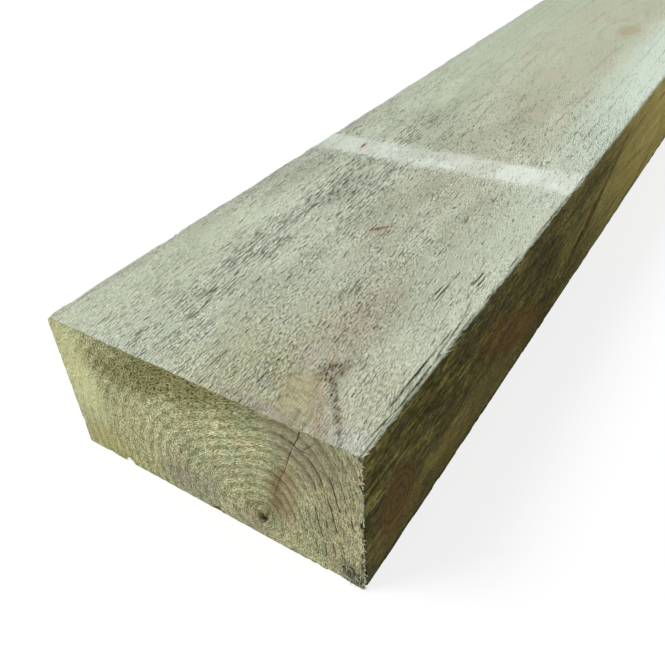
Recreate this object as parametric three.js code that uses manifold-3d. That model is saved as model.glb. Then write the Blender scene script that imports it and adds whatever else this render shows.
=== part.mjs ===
// Railway sleeper: one length of softwood, sawn to size on a band saw and pressure treated.
// Frame: millimetres, +X along the grain, +Y across the width, +Z up.
// The origin is in the middle of the bed, the broad face that the timber lies on.

import * as THREE from 'three';
import { mergeVertices } from 'three/addons/utils/BufferGeometryUtils.js';
import Module from 'manifold-3d';

// ---- Sawn size ----
const length = 2400;
const width = 200;
const thickness = 97;

// ---- Arrises: the four long edges, worn and chipped by the saw and by handling ----
const arrisLoss = 0.7;
const arrisWander = 0.35;
const arrisWave = 310;
const arrisRipple = 115;
const rippleShare = 0.4;
const chipSpacing = 210;
const chipLength = 90;
const chipLoss = 1.7;
const shallowestChip = 0.35;
const raggedChipLoss = 2.3;

// ---- Chips in the first stretch from the front end, where handling has hit the edges most ----
const knockedLength = 320;
const raggedChipStarts = [16, 84, 232];
const raggedChipLengths = [40, 40, 50];
const rearChipStarts = [12, 150];
const rearChipLengths = [18, 60];

// ---- Heart of the log: the pith runs along the timber, off centre and close to the bed ----
const pithInset = 62;
const pithHeight = 15;
const pithPitWidth = 7;
const pithPitHeight = 9;
const pithPitDepth = 7;

// ---- Check in the front end: a split along one radius of the log ----
const checkMouthInset = 31;
const checkLength = 44;
const checkGape = 1;
const checkDepth = 20;
const checkKink = 0.8;
const checkKinkTurns = 1.4;
const checkTipShare = 0.08;

// ---- Checks in the back end: they open from the pith like a star ----
const starAngles = [22, 74, 128, 163];
const starGape = 2.2;
const starLength = 58;
const starShortShare = 0.75;
const starDepth = 70;

// ---- Broken fibres of the front end: nicks in its lower edge, a torn patch and a worn corner ----
const nickInsets = [96, 165];
const nickWidth = 7;
const nickHeight = 4;
const nickDepth = 9;
const tornPatchInset = 9;
const tornPatchSize = 12;
const tornPatchDepth = 1.8;
const chippedCornerSize = 2;
const chippedCornerLength = 4;

// ---- Splits along the grain in the top, beside its ragged arris ----
const arrisSplitStart = 28;
const arrisSplitLength = 88;
const arrisSplitInset = 5;
const innerSplitStart = 114;
const innerSplitLength = 36;
const innerSplitInset = 24;
const outerSplitStart = 124;
const outerSplitLength = 30;
const outerSplitInset = 10;
const splitPairGap = 2.6;
const splitGape = 1.2;
const splitDepth = 2.2;
const splitSway = 0.15;
const splitSwayTurns = 1.1;
const splitTipShare = 0.1;

// ---- Sloping split in the front side face, with a small pocket in the middle ----
const sideSplitStart = 288;
const sideSplitLength = 128;
const sideSplitFoot = 23;
const sideSplitHead = 21;
const sideSplitGape = 2.4;
const sideSplitDepth = 6;
const sideSplitSway = 1.2;
const pocketLength = 13;
const pocketHeight = 7;
const pocketDepth = 8;

// ---- How finely the body and the cutters are built ----
const stationPitch = 20;
const closeStationPitch = 6;
const arrisFacets = 3;
const overcut = 2;
const cutterSteps = 10;
const pitRoughness = 0.28;
const pitDetail = 2;

const wasm = await Module();
wasm.setup();

const frontX = -length / 2;
const backX = length / 2;
const frontSideY = -width / 2;
const rearSideY = width / 2;
const fullTurn = 2 * Math.PI;
const along = new THREE.Vector3(1, 0, 0);
const up = new THREE.Vector3(0, 0, 1);

/* Repeatable random numbers from 0 to 1, so that every build gives the same timber. */
function randomFrom(seed) {
  let state = seed;
  return () => {
    state = (state + 0x6d2b79f5) | 0;
    let mixed = Math.imul(state ^ (state >>> 15), 1 | state);
    mixed = (mixed + Math.imul(mixed ^ (mixed >>> 7), 61 | mixed)) ^ mixed;
    return ((mixed ^ (mixed >>> 14)) >>> 0) / 4294967296;
  };
}

/* Turns a closed three.js geometry into a solid that can be cut. */
function solidFrom(geometry) {
  const bare = geometry.clone();
  bare.deleteAttribute('normal');
  bare.deleteAttribute('uv');
  const merged = bare.index ? bare : mergeVertices(bare);
  const vertProperties = new Float32Array(merged.attributes.position.array);
  const triVerts = new Uint32Array(merged.index.array);
  return new wasm.Manifold(new wasm.Mesh({ numProp: 3, vertProperties, triVerts }));
}

/* Turns a cut solid back into a three.js geometry. */
function geometryFrom(solid) {
  const mesh = solid.getMesh();
  const geometry = new THREE.BufferGeometry();
  geometry.setAttribute('position', new THREE.BufferAttribute(mesh.vertProperties, 3));
  geometry.setIndex(new THREE.BufferAttribute(mesh.triVerts, 1));
  geometry.computeVertexNormals();
  return geometry;
}

/* Closed geometry through a row of convex rings, each with the same number of points.
   Seen along the row, a ring's points run anticlockwise when looking back at its start. */
function loft(rings) {
  const count = rings[0].length;
  const points = rings.flat();
  const faces = [];
  for (let row = 0; row + 1 < rings.length; row += 1) {
    for (let i = 0; i < count; i += 1) {
      const here = row * count + i;
      const next = row * count + ((i + 1) % count);
      faces.push(here, next, next + count, here, next + count, here + count);
    }
  }
  [0, rings.length - 1].forEach((row, side) => {
    const middle = new THREE.Vector3();
    rings[row].forEach((point) => middle.addScaledVector(point, 1 / count));
    const hub = points.push(middle) - 1;
    for (let i = 0; i < count; i += 1) {
      const here = row * count + i;
      const next = row * count + ((i + 1) % count);
      faces.push(...(side === 0 ? [hub, next, here] : [hub, here, next]));
    }
  });
  const geometry = new THREE.BufferGeometry().setFromPoints(points);
  geometry.setIndex(faces);
  return geometry;
}

// ---- The sawn body ----

/* Chips of one arris beyond its knocked stretch: where the middle of each lies, how far it
   reaches to either side and how much of the arris it takes. */
function chipsBeyond(seed, loss) {
  const random = randomFrom(seed);
  const chips = [];
  let x = frontX + knockedLength + chipLength * random();
  while (x < backX) {
    const reach = (chipLength / 2) * (0.5 + random());
    chips.push({ x, reach, loss: loss * (shallowestChip + (1 - shallowestChip) * random()) });
    x += chipSpacing * (0.5 + random());
  }
  return chips;
}

/* Chips of one arris that start at given distances from the front end. */
function chipsAt(starts, lengths, loss) {
  return starts.map((start, index) => {
    const reach = lengths[index] / 2;
    return { x: frontX + start + reach, reach, loss };
  });
}

/* How far one arris is set back at a place along the timber. A chip starts steeply at its
   root and feathers out along the grain. */
function arrisSetback(arris, x) {
  const wave = Math.sin(fullTurn * (x / arrisWave) + arris.phase);
  const ripple = Math.sin(fullTurn * (x / arrisRipple) + 2 * arris.phase);
  let setback = arrisLoss + arrisWander * ((1 - rippleShare) * wave + rippleShare * ripple);
  arris.chips.forEach((chip) => {
    const place = (x - chip.x) / chip.reach;
    if (Math.abs(place) < 1) {
      setback += chip.loss * (place < 0 ? Math.sqrt(1 + place) : (1 - place) ** 2);
    }
  });
  return setback;
}

/* Points round one corner of the section, from the face met first to the face met next. */
function cornerPoints(x, arris) {
  const setback = arrisSetback(arris, x);
  const points = [];
  for (let i = 0; i <= arrisFacets; i += 1) {
    const turn = (fullTurn / 4) * (i / arrisFacets);
    const first = setback * arris.lean * (1 - Math.sin(turn));
    const second = (setback / arris.lean) * (1 - Math.cos(turn));
    const [inY, inZ] = arris.startsOnSide ? [second, first] : [first, second];
    points.push(new THREE.Vector3(x, arris.y - Math.sign(arris.y) * inY, arris.z + arris.intoZ * inZ));
  }
  return points;
}

/* Places of the body's rings, close together along the knocked stretch. */
function stationPlaces() {
  const close = Math.ceil(knockedLength / closeStationPitch);
  const plainLength = length - knockedLength;
  const plain = Math.ceil(plainLength / stationPitch);
  const places = [];
  for (let i = 0; i < close; i += 1) {
    places.push(frontX + (knockedLength * i) / close);
  }
  for (let i = 0; i <= plain; i += 1) {
    places.push(frontX + knockedLength + (plainLength * i) / plain);
  }
  return places;
}

/* The body: the sawn section carried along the length while its arrises wander and chip. */
function sawnBody() {
  const arrises = [
    { y: rearSideY, z: thickness, intoZ: -1, startsOnSide: true, phase: 0.4, lean: 1.1, loss: chipLoss },
    { y: frontSideY, z: thickness, intoZ: -1, startsOnSide: false, phase: 1.9, lean: 1.2, loss: raggedChipLoss },
    { y: frontSideY, z: 0, intoZ: 1, startsOnSide: true, phase: 3.3, lean: 0.9, loss: chipLoss },
    { y: rearSideY, z: 0, intoZ: 1, startsOnSide: false, phase: 5.1, lean: 1.05, loss: chipLoss },
  ];
  const rearKnocks = chipsAt(rearChipStarts, rearChipLengths, chipLoss);
  const raggedKnocks = chipsAt(raggedChipStarts, raggedChipLengths, raggedChipLoss);
  const knocks = [rearKnocks, raggedKnocks, [], []];
  arrises.forEach((arris, index) => {
    arris.chips = [...knocks[index], ...chipsBeyond(index + 1, arris.loss)];
  });
  return loft(stationPlaces().map((x) => arrises.flatMap((arris) => cornerPoints(x, arris))));
}

// ---- What is missing from the body ----

/* Wedge for a check: it runs from a root to a mouth in an end face, opens on the way and
   goes into the timber, deepest at the mouth. */
function checkCutter({ root, mouth, endX, gape, depth }) {
  const inward = -Math.sign(endX);
  const run = new THREE.Vector3().subVectors(mouth, root);
  const across = new THREE.Vector3(0, -run.z, run.y).normalize().multiplyScalar(inward);
  const rings = [];
  for (let i = 0; i <= cutterSteps; i += 1) {
    const share = i / cutterSteps;
    const open = checkTipShare + (1 - checkTipShare) * share;
    const kink = checkKink * Math.sin(fullTurn * checkKinkTurns * share) * (1 - share);
    const centre = root.clone().addScaledVector(run, share).addScaledVector(across, kink);
    const outer = centre.clone().addScaledVector(along, -inward * overcut);
    const spread = (gape / 2) * open * (1 + overcut / (depth * open));
    rings.push([
      outer.clone().addScaledVector(across, -spread),
      outer.clone().addScaledVector(across, spread),
      centre.clone().addScaledVector(along, inward * depth * open),
    ]);
  }
  return loft(rings);
}

/* Boat-shaped cutter for a split along the grain of a long face. */
function splitCutter({ start, end, outward, gape, depth, sway }) {
  const run = new THREE.Vector3().subVectors(end, start);
  const across = new THREE.Vector3().crossVectors(outward, run).normalize();
  const rings = [];
  for (let i = 0; i <= cutterSteps; i += 1) {
    const share = i / cutterSteps;
    const open = splitTipShare + (1 - splitTipShare) * Math.sqrt(Math.sin(Math.PI * share));
    const aside = sway * Math.sin(fullTurn * splitSwayTurns * share);
    const centre = start.clone().addScaledVector(run, share).addScaledVector(across, aside);
    const outer = centre.clone().addScaledVector(outward, overcut);
    const spread = (gape / 2) * open * (1 + overcut / (depth * open));
    rings.push([
      outer.clone().addScaledVector(across, spread),
      outer.clone().addScaledVector(across, -spread),
      centre.clone().addScaledVector(outward, -depth * open),
    ]);
  }
  return loft(rings);
}

/* Rough lump that leaves a torn hollow where it is cut away. */
function pitCutter({ centre, size, seed }) {
  const random = randomFrom(seed);
  const geometry = new THREE.IcosahedronGeometry(1, pitDetail);
  geometry.deleteAttribute('normal');
  geometry.deleteAttribute('uv');
  const lump = mergeVertices(geometry);
  const places = lump.attributes.position;
  const point = new THREE.Vector3();
  for (let i = 0; i < places.count; i += 1) {
    point.fromBufferAttribute(places, i).multiplyScalar(1 - pitRoughness * random());
    point.multiply(size).multiplyScalar(0.5).add(centre);
    places.setXYZ(i, point.x, point.y, point.z);
  }
  return lump;
}

/* The check that shows in the front end, on the radius from the pith to its mouth. */
function frontCheck() {
  const pith = new THREE.Vector3(frontX, frontSideY + pithInset, pithHeight);
  const mouth = new THREE.Vector3(frontX, frontSideY + checkMouthInset, thickness);
  const radius = new THREE.Vector3().subVectors(mouth, pith).normalize();
  const root = mouth.clone().addScaledVector(radius, -checkLength);
  const end = mouth.clone().addScaledVector(radius, overcut);
  return checkCutter({ root, mouth: end, endX: frontX, gape: checkGape, depth: checkDepth });
}

/* The star of checks in the back end. */
function backChecks() {
  return starAngles.map((angle, index) => {
    const pith = new THREE.Vector3(backX, frontSideY + pithInset, pithHeight);
    const turn = THREE.MathUtils.degToRad(angle);
    const reach = starLength * (index % 2 ? starShortShare : 1);
    const tip = new THREE.Vector3(backX, pith.y + reach * Math.cos(turn), pith.z + reach * Math.sin(turn));
    return checkCutter({ root: tip, mouth: pith, endX: backX, gape: starGape, depth: starDepth });
  });
}

/* The small hollow where the soft pith has fallen out of the front end. */
function pithPit() {
  const centre = new THREE.Vector3(frontX, frontSideY + pithInset, pithHeight);
  const size = new THREE.Vector3(2 * pithPitDepth, pithPitWidth, pithPitHeight);
  return pitCutter({ centre, size, seed: 11 });
}

/* Nicks in the lower edge of the front end, the torn patch and the worn corner. */
function endBreaks() {
  const nickSize = new THREE.Vector3(2 * nickDepth, nickWidth, 2 * nickHeight);
  const nicks = nickInsets.map((inset, index) => {
    const centre = new THREE.Vector3(frontX, frontSideY + inset, 0);
    return pitCutter({ centre, size: nickSize, seed: 21 + index });
  });
  const torn = pitCutter({
    centre: new THREE.Vector3(frontX, frontSideY + tornPatchInset, tornPatchInset),
    size: new THREE.Vector3(2 * tornPatchDepth, tornPatchSize, tornPatchSize),
    seed: 31,
  });
  const chipped = pitCutter({
    centre: new THREE.Vector3(frontX, rearSideY, thickness),
    size: new THREE.Vector3(2 * chippedCornerLength, 2 * chippedCornerSize, 2 * chippedCornerSize),
    seed: 32,
  });
  return [...nicks, torn, chipped];
}

/* The splits in the top: one beside the arris, and two pairs of short ones. */
function topSplits() {
  const split = (start, reach, inset) => splitCutter({
    start: new THREE.Vector3(frontX + start, frontSideY + inset, thickness),
    end: new THREE.Vector3(frontX + start + reach, frontSideY + inset, thickness),
    outward: up,
    gape: splitGape,
    depth: splitDepth,
    sway: splitSway,
  });
  return [
    split(arrisSplitStart, arrisSplitLength, arrisSplitInset),
    split(innerSplitStart, innerSplitLength, innerSplitInset),
    split(innerSplitStart, innerSplitLength / 2, innerSplitInset + splitPairGap),
    split(outerSplitStart, outerSplitLength, outerSplitInset),
    split(outerSplitStart + outerSplitLength / 4, outerSplitLength, outerSplitInset + splitPairGap),
  ];
}

/* The sloping split in the front side face and the pocket in the middle of it. */
function sideSplit() {
  const start = new THREE.Vector3(frontX + sideSplitStart, frontSideY, sideSplitFoot);
  const end = new THREE.Vector3(start.x + sideSplitLength, frontSideY, thickness - sideSplitHead);
  const outward = new THREE.Vector3(0, -1, 0);
  const middle = new THREE.Vector3().addVectors(start, end).multiplyScalar(0.5);
  const size = new THREE.Vector3(pocketLength, 2 * pocketDepth, pocketHeight);
  return [
    splitCutter({
      start, end, outward, gape: sideSplitGape, depth: sideSplitDepth, sway: sideSplitSway,
    }),
    pitCutter({ centre: middle, size, seed: 41 }),
  ];
}

// ---- The timber ----

function sleeperGeometry() {
  const cutters = [
    frontCheck(), ...backChecks(), pithPit(), ...endBreaks(), ...topSplits(), ...sideSplit(),
  ];
  const finished = cutters.reduce(
    (timber, cutter) => timber.subtract(solidFrom(cutter)),
    solidFrom(sawnBody()),
  );
  return geometryFrom(finished);
}

const treatedSoftwood = new THREE.MeshStandardMaterial({ color: 0xb7bb97, roughness: 0.88, metalness: 0 });

const sleeper = new THREE.Mesh(sleeperGeometry(), treatedSoftwood);
sleeper.name = 'sleeper';

const model = new THREE.Group();
model.add(sleeper);

export default model;
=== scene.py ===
import functools
import itertools
import math

import bpy
import numpy as np
from mathutils import Matrix, Vector
from mathutils.bvhtree import BVHTree
from mathutils.geometry import delaunay_2d_cdt
from mathutils.kdtree import KDTree


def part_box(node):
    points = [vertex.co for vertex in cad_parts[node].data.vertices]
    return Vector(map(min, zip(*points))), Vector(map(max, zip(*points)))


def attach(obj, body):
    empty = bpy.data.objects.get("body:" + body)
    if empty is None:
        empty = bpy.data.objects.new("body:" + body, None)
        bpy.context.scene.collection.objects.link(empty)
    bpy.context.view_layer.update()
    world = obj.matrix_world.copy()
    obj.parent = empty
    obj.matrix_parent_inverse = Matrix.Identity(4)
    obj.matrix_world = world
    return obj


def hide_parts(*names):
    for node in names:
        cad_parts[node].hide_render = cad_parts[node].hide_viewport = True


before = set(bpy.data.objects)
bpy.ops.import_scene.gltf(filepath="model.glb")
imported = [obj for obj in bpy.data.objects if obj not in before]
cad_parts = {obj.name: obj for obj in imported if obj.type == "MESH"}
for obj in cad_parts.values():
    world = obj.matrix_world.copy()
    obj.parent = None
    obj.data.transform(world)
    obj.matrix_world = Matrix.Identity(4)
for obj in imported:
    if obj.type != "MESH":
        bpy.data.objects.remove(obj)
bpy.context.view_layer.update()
low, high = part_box("sleeper")
MM = 0.001

# ---- Camera ----
# It stands beside the front end, above the timber, and looks down along it. Its place is given from
# the middle of the front end, at the floor.

CAMERA_FROM_FRONT_END = Vector((-0.1650, -0.2036, 0.3138))
CAMERA_YAW = math.radians(34.83)
CAMERA_PITCH = math.radians(-37.68)
CAMERA_ROLL = math.radians(-3.10)
CAMERA_LENS = 37.54
CAMERA_SEES_FROM = 10 * MM


def new_object(name, data):
    """Puts an object with some data in the scene."""
    added = bpy.data.objects.new(name, data)
    bpy.context.scene.collection.objects.link(added)
    return added


camera = new_object("camera", bpy.data.cameras.new("camera"))
camera.data.lens = CAMERA_LENS
camera.data.clip_start = CAMERA_SEES_FROM
camera.matrix_world = (
    Matrix.Translation(Vector((low.x, 0, 0)) + CAMERA_FROM_FRONT_END)
    @ Matrix.Rotation(CAMERA_YAW - math.pi / 2, 4, "Z")
    @ Matrix.Rotation(math.pi / 2 + CAMERA_PITCH, 4, "X")
    @ Matrix.Rotation(CAMERA_ROLL, 4, "Z")
)
bpy.context.scene.camera = camera

# ---- Timber ----
# One length of fast-grown softwood, band-sawn on four sides, cut across at both ends and pressure
# treated green. The saw leaves it woolly, with short tears along the rings and chipped arrises, and it
# has split a little at the ends as it dried.

LENGTH, WIDTH, THICKNESS = high - low

# The pith wanders sideways and up in slow waves, whose lengths are in metres.
RING_WIDTH = 5.7 * MM
PITH_INSET = 62 * MM
PITH_HEIGHT = 15 * MM
PITH_WANDER = 10 * MM
PITH_WAVES = (1.9, 1.3)
RINGS_TIGHTER_TO_THE_FRONT = 0.15
HEARTWOOD_RADIUS = 84 * MM

# Each knot is a branch that leaves the pith: its distance from the front end, the angle that it leaves
# at (0 is towards the rear side, 90 straight up), how fast it widens, its stretch along the grain, how
# red its wood is and how far the rings bulge out along it. The first was cut away at the front end, and
# only its rings' bulge is left.
KNOTS = [
    (0.000, 110, 0.23, 1.75, 0.00, 0.30),
    (0.033, 161, 0.25, 0.95, 1.00, 0.10),
    (0.350, 157, 0.06, 1.50, 0.80, 0.12),
    (0.680, 98, 0.10, 2.20, 0.50, 0.14),
    (1.040, 24, 0.20, 1.30, 0.80, 0.14),
    (1.070, 250, 0.17, 1.40, 0.70, 0.14),
    (1.560, 168, 0.21, 1.20, 0.90, 0.14),
    (1.590, 71, 0.13, 1.60, 0.60, 0.14),
    (2.120, 338, 0.18, 1.40, 0.80, 0.14),
]
BRANCH_PITH_RADIUS = 3 * MM

# Mesh zones from the front end: where each ends, the step along the timber, the steps across the
# top, front side, bed and rear side, the steps round each arris and the share of the relief that it
# shows. The top of the first zone is closed with uneven points instead of rows, so that each tear
# keeps its own edge. Near a knot the steps along are short everywhere.
FRONT_RING_STEPS = (0.9 * MM, 1.2 * MM, 1.2 * MM, 2.4 * MM)
ZONES = [
    (0.320, 2.4 * MM, (0.9 * MM, 1.5 * MM, 4.0 * MM, 5.0 * MM), 10, 1.0),
    (0.800, 5.6 * MM, (2.2 * MM, 2.8 * MM, 8.0 * MM, 6.0 * MM), 8, 0.7),
    (LENGTH, 22.0 * MM, (4.0 * MM, 5.0 * MM, 8.0 * MM, 7.0 * MM), 6, 0.35),
]
KNOT_STEP = 7 * MM
KNOT_REACH = 55 * MM
ARRIS_REACH = 4.0 * MM
ARRIS_FRAY = 1.1 * MM
FRONT_RIM_RAGGED = 0.8 * MM
FRONT_EDGE_RAGGED = 2.2 * MM
TOP_STEP = 2.8 * MM
FRONT_END_STEP = 1.6 * MM
BACK_END_STEP = 4.0 * MM

# The mesh is cast onto the solid's own surface, by rays that start this far outside its flat faces.
# Cracks and pits are followed down to the second depth, and splits in the top to the third.
RAY_START = 5 * MM
DEEPEST = 5 * MM
SPLIT_FLOOR = 2.2 * MM

# The drying checks of each end run to the pith: one from the top arris at the front, where it also
# runs back over the top a little, and a star at the back.
CHECK_AIM = np.array([low.y + PITH_INSET, PITH_HEIGHT])
FRONT_CHECK_INSET = 31 * MM
FRONT_CHECK_LENGTH = 44 * MM
FRONT_CHECK_GAPE = 1.0 * MM
FRONT_CHECK_DEPTH = 0.45 * MM
FRONT_CHECK_RUN = 4 * MM
BACK_CHECK_ANGLES = [22, 74, 128, 163]
BACK_CHECK_LENGTH = 58 * MM
BACK_CHECK_SHORT_SHARE = 0.75
BACK_CHECK_GAPE = 2.2 * MM
CHECK_POINTS = 14
CHECK_KINK = 0.8 * MM
CHECK_KINK_TURNS = 1.4
CHECK_TIP_SHARE = 0.08

# Tears in the top: the saw pulls short bundles of soft wood out of the rings that it crosses at a
# slant, most of them in a belt this far from the rear arris, and leaves a raised lip. They keep the
# last distance from other cracks.
TEAR_TRIES = 15000
TEAR_BELT = 64 * MM
TEAR_BELT_REACH = 22 * MM
TEAR_SLANT = math.radians(5)
TEAR_LIP = 0.22 * MM
TEAR_GAP = 1.5 * MM

# A streak of short tears beside the cut-off knot: where it starts, as distances from the front end and
# the rear arris in millimetres, how far it turns from the grain on its way to the front end, its length
# and half its width.
KNOT_STREAK_START = (48, 156)
KNOT_STREAK_TURN = math.radians(31)
KNOT_STREAK_LENGTH = 42 * MM
KNOT_STREAK_HALF_WIDTH = 2.6 * MM

# The longest tears: distance from the front end, distance from the rear arris, half their length and
# half their width, in millimetres.
LONG_TEARS = [
    (20, 133, 6.5, 0.5), (34.5, 132, 2.2, 0.6), (49, 141, 2.4, 0.5), (86.5, 128.3, 2.6, 0.5),
    (29.5, 162.5, 2.0, 0.6), (37, 158.5, 2.2, 0.7), (33, 160.8, 1.8, 0.6), (32, 176.7, 3.8, 0.7),
    (33.5, 174.3, 1.4, 0.5), (26, 168.5, 1.8, 0.6), (45, 161, 2.6, 0.6), (142, 188.4, 8.5, 0.55),
    (60, 187, 3.2, 0.4), (84, 191, 4.4, 0.4), (98, 186.5, 2.8, 0.4), (20, 190.5, 3.0, 0.5),
]


def random_at(cells, seed):
    """Repeatable random numbers from 0 to 1, one for each whole-numbered cell, mixed from its bits."""
    mixed = (cells * np.array([73856093, 19349663, 83492791])).sum(axis=-1) + seed * 40503
    for shift, factor in ((13, 1274126177), (16, 2246822519), (15, 3266489917)):
        mixed = ((mixed ^ (mixed >> shift)) & 0xFFFFFFFF) * factor & 0xFFFFFFFF
    return ((mixed ^ (mixed >> 16)) & 0xFFFFFF) / 0xFFFFFF


def noise(points, cell, seed):
    """Smooth random field from -1 to 1 with grains of the size cell, in metres."""
    scaled = points / np.array(cell)
    base = np.floor(scaled).astype(np.int64)
    part = scaled - base
    part = part * part * (3 - 2 * part)
    total = np.zeros(len(points))
    for corner in itertools.product((0, 1), repeat=3):
        weight = np.prod(np.where(corner, part, 1 - part), axis=1)
        total += weight * random_at(base + np.array(corner), seed)
    return 2 * total - 1


def smooth_step(edge0, edge1, value):
    """Rises smoothly from 0 at one edge to 1 at the other, which may be the smaller."""
    share = np.clip((value - edge0) / (edge1 - edge0), 0, 1)
    return share * share * (3 - 2 * share)


def pith_at(along):
    """Where the pith lies at a distance from the front end: it wanders as the tree grew."""
    wave_y, wave_z = [1 - np.cos(2 * np.pi * along / wave) for wave in PITH_WAVES]
    return low.y + PITH_INSET + PITH_WANDER * wave_y, PITH_HEIGHT + PITH_WANDER * 0.5 * wave_z


def from_branch(points, place, angle, widening, stretch):
    """How far points lie from a branch's axis, as a distance and as a share of its radius there. The
    share is 9 or more behind the pith, where there is no branch."""
    pith_y, pith_z = pith_at(place)
    turn = math.radians(angle)
    ly, lz = points[:, 1] - pith_y, points[:, 2] - pith_z
    reach = ly * math.cos(turn) + lz * math.sin(turn)
    away = points[:, 0] - low.x - place
    side = np.hypot(ly * math.sin(turn) - lz * math.cos(turn), away / stretch)
    share = side / (BRANCH_PITH_RADIUS + widening * np.maximum(reach, 0))
    return side, share + 9 * (reach < 0)


def wood_fields(points):
    """The wood at each point: its ring radius, the way round its ring, and the knots' share,
    redness and distance."""
    along = points[:, 0] - low.x
    pith_y, pith_z = pith_at(along)
    dy, dz = points[:, 1] - pith_y, points[:, 2] - pith_z
    radius = np.hypot(dy, dz)
    growth = radius - RINGS_TIGHTER_TO_THE_FRONT * dy
    growth += 1.8 * MM * noise(points, (0.30, 0.05, 0.05), 1)
    growth += 0.5 * MM * noise(points, (0.05, 0.012, 0.012), 2)
    wobble = 1 + 0.10 * noise(points, (0.012, 0.012, 0.012), 3)
    knot, red = np.zeros((2, len(points)))
    branch = np.full(len(points), 1.0)
    for place, angle, widening, stretch, redness, bulge in KNOTS:
        side, share = from_branch(points, place, angle, widening, stretch)
        growth *= 1 - bulge * np.exp(-((share / 2.0) ** 2))
        inside = 1 - smooth_step(0.70, 1.15, share * wobble)
        knot = np.maximum(knot, inside * (redness > 0))
        red = np.maximum(red, redness * (1 - smooth_step(0.7, 1.5, share * wobble)))
        branch = np.where((share < 2) & (redness > 0), np.minimum(branch, side * wobble), branch)
    turn = np.arctan2(dz, dy) - math.radians(KNOTS[0][1])
    around = radius * np.abs((turn + np.pi) % (2 * np.pi) - np.pi)
    return {"growth": growth, "around": around, "knot": knot, "red": red, "branch": branch}


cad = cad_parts["sleeper"].data
cad_surface = BVHTree.FromPolygons(
    [vertex.co for vertex in cad.vertices], [tuple(face.vertices) for face in cad.polygons]
)


def rays_round(steps, arris_steps, open_top):
    """Starts and outward directions of rays at the section, clockwise seen from the front end, and
    the number of steps over the top. An open top has only its first point, and the rays round an
    arris are closest in its middle."""
    y, z, r = WIDTH / 2, THICKNESS, ARRIS_REACH
    faces = [
        ((y - r, z), (-y + r, z), (0, 1)),
        ((-y, z - r), (-y, r), (-1, 0)),
        ((-y + r, 0), (y - r, 0), (0, -1)),
        ((y, r), (y, z - r), (1, 0)),
    ]
    starts, outs, counts = [], [], []
    for (begin, end, out), step in zip(faces, steps):
        begin, end, out = np.array(begin), np.array(end), np.array(out)
        count = max(2, round(float(np.linalg.norm(end - begin)) / step))
        counts.append(1 if open_top and not counts else count)
        for i in range(counts[-1]):
            starts.append(begin + (end - begin) * i / count + out * RAY_START)
            outs.append(out)
        centre = end - out * r
        first = math.atan2(out[1], out[0])
        for i in range(arris_steps):
            place = 2 * i / arris_steps - 1
            angle = first + math.pi / 4 * (1 + math.copysign(abs(place) ** 1.5, place))
            out = np.array([math.cos(angle), math.sin(angle)])
            starts.append(centre + out * (1.5 * r + RAY_START))
            outs.append(out)
    return np.array(starts), np.array(outs), counts[0]


def stations():
    """Distances from the front end of the rings of points, each with its zone, closer at the knots."""
    knots = np.array([knot[0] for knot in KNOTS])
    found = []
    along = 0.0
    for zone, (end, step, *_) in enumerate(ZONES):
        while along < end - 0.5 * step:
            found.append((along, zone))
            near = np.abs(knots - along).min() < KNOT_REACH
            along += min(step, KNOT_STEP) if near else step
        along = end
    return found + [(LENGTH, len(ZONES) - 1)]


def cast_section(along, starts, outs):
    """Points of the solid's surface round the section at a distance from the front end. The rays of
    the two end rings run just inside the ends."""
    inside = min(max(along, 0.2 * MM), LENGTH - 0.2 * MM)
    points = []
    for (y, z), (oy, oz) in zip(starts, outs):
        hit = cad_surface.ray_cast(Vector((low.x + inside, y, z)), Vector((0, -oy, -oz)))[0]
        points.append((low.x + along, hit.y, hit.z))
    return np.array(points)


def strip(first, second):
    """Faces between two rows of vertex numbers, which may have different counts."""
    if len(first) == len(second):
        return [*zip(first, first[1:], second[1:], second)]
    faces = []
    i = j = 0
    while i + 1 < len(first) or j + 1 < len(second):
        step_first = j + 1 == len(second) or (
            i + 1 < len(first) and (i + 1) * (len(second) - 1) <= (j + 1) * (len(first) - 1)
        )
        if step_first:
            faces.append((first[i], first[i + 1], second[j]))
            i += 1
        else:
            faces.append((first[i], second[j + 1], second[j]))
            j += 1
    return faces


def long_faces():
    """The rings of points round the sawn sides: points, outward directions, share of the relief,
    faces, and each ring's rows of vertex numbers over the top and round the rest."""
    zone_rays = [rays_round(zone[2], zone[3], zone is ZONES[0]) for zone in ZONES]
    front_rays = rays_round(FRONT_RING_STEPS, ZONES[0][3], False)
    points, outs, fine, faces, rows = [], [], [], [], []
    count = 0
    for along, zone in stations():
        starts, directions, over_top = zone_rays[zone] if along else front_rays
        ring = [*range(count, count + len(starts)), count]
        points.append(cast_section(along, starts, directions))
        outs.append(directions)
        fine.append(np.full(len(starts), ZONES[zone][4]))
        count += len(starts)
        rows.append((ring[:over_top + 1], ring[over_top:]))
        if len(rows) > 1:
            faces += strip(rows[-2][1], rows[-1][1])
            if zone_rays[zone][2] > 1 and len(rows[-2][0]) > 2:
                faces += strip(rows[-2][0], rows[-1][0])
    return np.concatenate(points), np.concatenate(outs), np.concatenate(fine), faces, rows


def join(*parts):
    """Joins sets of places and edges, and renumbers the edges."""
    places, edges = [], []
    for more, lines in parts:
        edges += [(a + len(places), b + len(places)) for a, b in lines]
        places += more
    return places, edges


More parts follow.
